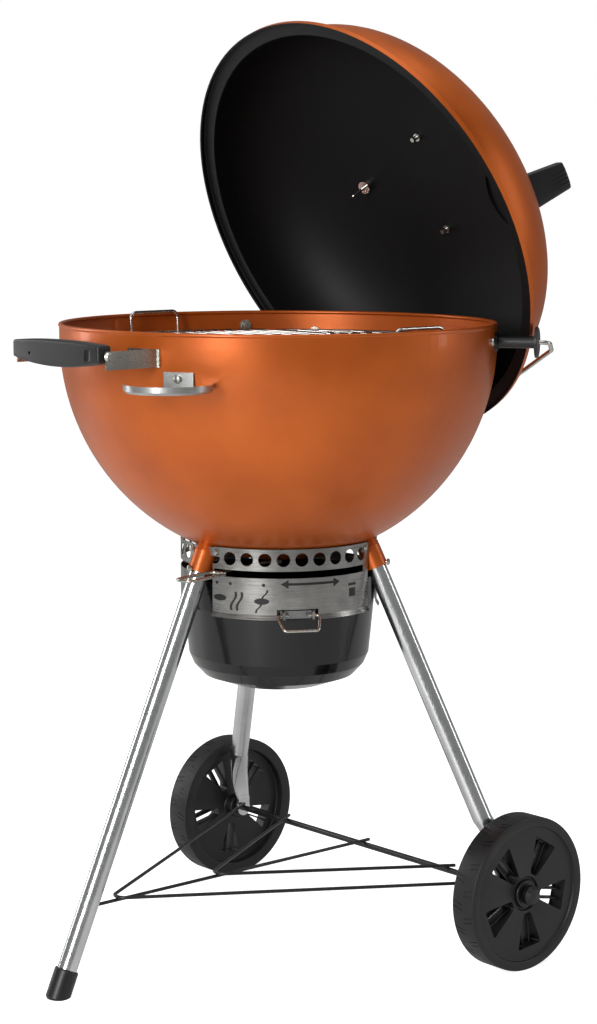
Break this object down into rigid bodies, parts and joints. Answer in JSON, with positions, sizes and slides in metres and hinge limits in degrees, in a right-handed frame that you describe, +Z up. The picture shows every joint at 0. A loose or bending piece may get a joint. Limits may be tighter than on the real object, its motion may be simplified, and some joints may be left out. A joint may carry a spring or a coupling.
{
  "type": "kettle charcoal grill",
  "caption": "Round-bowled charcoal grill on a three-legged wheeled stand, its domed lid parked in a side holder, with an enclosed ash pot and a lever that sweeps the vents",
  "frame": {"origin": "on the floor, at the middle of the whole grill's box", "axes": "+Z up, +X along the axle towards the right wheel, -Y towards the front leg and the bowl handle, +Y towards the parked lid"},
  "size_m": [0.65, 0.7544, 1.2154],
  "materials": {
    "orange_enamel": "glossy porcelain enamel, burnt orange metallic",
    "black_enamel": "glossy black enamel",
    "aluminium": "brushed and satin aluminium",
    "black_plastic": "moulded glass-filled nylon, fine satin grain",
    "black_steel": "black powder coat",
    "bright_plate": "bright nickel-chrome plate",
    "zinc_steel": "bright zinc plate",
    "bare_steel": "aluminised steel sheet and wire",
    "dark_rubber": "silicone gasket",
    "red_paint": "red lacquered pointer",
    "glass": "clear flat glass"
  },
  "bodies": {
    "stand": {"bowl": "orange_enamel", "leg_front": "aluminium", "leg_right": "aluminium", "leg_left": "aluminium", "leg_socket_front": "orange_enamel", "leg_socket_right": "orange_enamel", "leg_socket_left": "orange_enamel", "socket_screws": "zinc_steel", "foot_cap": "black_plastic", "axle": "black_steel", "axle_washers": "black_plastic", "axle_caps": "black_plastic", "rack_spine": "black_steel", "rack_outer_wire": "black_steel", "rack_inner_wire": "black_steel", "ring_plate_front_right": "aluminium", "ring_plate_rear": "aluminium", "ring_plate_front_left": "aluminium", "ring_clips": "bare_steel", "ring_screws": "zinc_steel", "handle_bracket_left": "zinc_steel", "handle_bracket_right": "zinc_steel", "handle_grip": "black_plastic", "handle_screws": "zinc_steel", "tool_tray": "aluminium", "wall_bolts": "zinc_steel", "wall_nuts": "zinc_steel", "holder_tubes": "black_plastic", "holder_discs": "black_plastic", "lid_holder": "bright_plate", "cooking_supports": "bare_steel", "charcoal_supports": "bare_steel"},
    "sweeper": {"vent_blades": "bare_steel", "vent_shaft": "bare_steel", "vent_lever": "bare_steel"},
    "ash_catcher": {"ash_pot": "black_enamel", "latch_bracket": "bare_steel"},
    "pot_bail": {"pot_handle": "black_enamel"},
    "grate": {"cooking_grate": "bright_plate", "grate_handles": "bright_plate"},
    "flap_front": {"grate_flap_front": "bright_plate"},
    "flap_rear": {"grate_flap_rear": "bright_plate"},
    "coal_grate": {"charcoal_grate": "bright_plate"},
    "lid": {"lid": "orange_enamel", "lid_handle_posts": "black_plastic", "lid_handle_bolts": "zinc_steel", "lid_heat_shield": "aluminium", "lid_handle_grip": "black_plastic", "thermometer_probe": "bright_plate", "thermometer_case": "bright_plate", "thermometer_gasket": "dark_rubber", "thermometer_dial": "black_plastic", "thermometer_glass": "glass", "damper_rivet": "zinc_steel"},
    "lid_damper": {"damper_disc": "aluminium", "damper_grip": "black_plastic"},
    "gauge_needle": {"thermometer_needle": "red_paint"},
    "wheel_l": {"wheel_left": "black_plastic"},
    "wheel_r": {"wheel_right": "black_plastic"}
  },
  "joints": [
    {"name": "wheel_l_spin", "type": "hinge", "parent": "stand", "child": "wheel_l", "pos_m": [-0.293, 0.15766, 0.10075], "axis": [1, 0, 0], "continuous": true},
    {"name": "wheel_r_spin", "type": "hinge", "parent": "stand", "child": "wheel_r", "pos_m": [0.293, 0.15766, 0.10075], "axis": [1, 0, 0], "continuous": true},
    {"name": "vent_sweep", "type": "hinge", "parent": "stand", "child": "sweeper", "pos_m": [0, 0.00166, 0.516], "axis": [0, 0, 1], "range_deg": [0, 60]},
    {"name": "pot_drop", "type": "slide", "parent": "stand", "child": "ash_catcher", "axis": [0, 0, -1], "range_m": [0, 0.15]},
    {"name": "pot_bail_swing", "type": "hinge", "parent": "ash_catcher", "child": "pot_bail", "pos_m": [0.11521, -0.06379, 0.465], "axis": [-0.4939, -0.8695, 0], "range_deg": [0, 70]},
    {"name": "grate_lift", "type": "slide", "parent": "stand", "child": "grate", "axis": [0, 0, 1], "range_m": [0, 0.15]},
    {"name": "flap_front_fold", "type": "hinge", "parent": "grate", "child": "flap_front", "pos_m": [0, -0.15634, 0.803], "axis": [-1, 0, 0], "range_deg": [0, 100]},
    {"name": "flap_rear_fold", "type": "hinge", "parent": "grate", "child": "flap_rear", "pos_m": [0, 0.15966, 0.803], "axis": [1, 0, 0], "range_deg": [0, 80]},
    {"name": "coal_lift", "type": "slide", "parent": "stand", "child": "coal_grate", "axis": [0, 0, 1], "range_m": [0, 0.12]},
    {"name": "lid_lift_out", "type": "slide", "parent": "stand", "child": "lid", "axis": [0, 0.4699, 0.8827], "range_m": [0, 0.16]},
    {"name": "damper_turn", "type": "hinge", "parent": "lid", "child": "lid_damper", "pos_m": [0.15157, 0.27663, 0.99388], "axis": [0.2411, 0.8876, 0.3925], "range_deg": [-45, 45]},
    {"name": "needle_turn", "type": "hinge", "parent": "lid", "child": "gauge_needle", "pos_m": [-0.1256, 0.27551, 1.008], "axis": [-0.1725, 0.892, 0.4178], "range_deg": [-240, 0]}
  ]
}
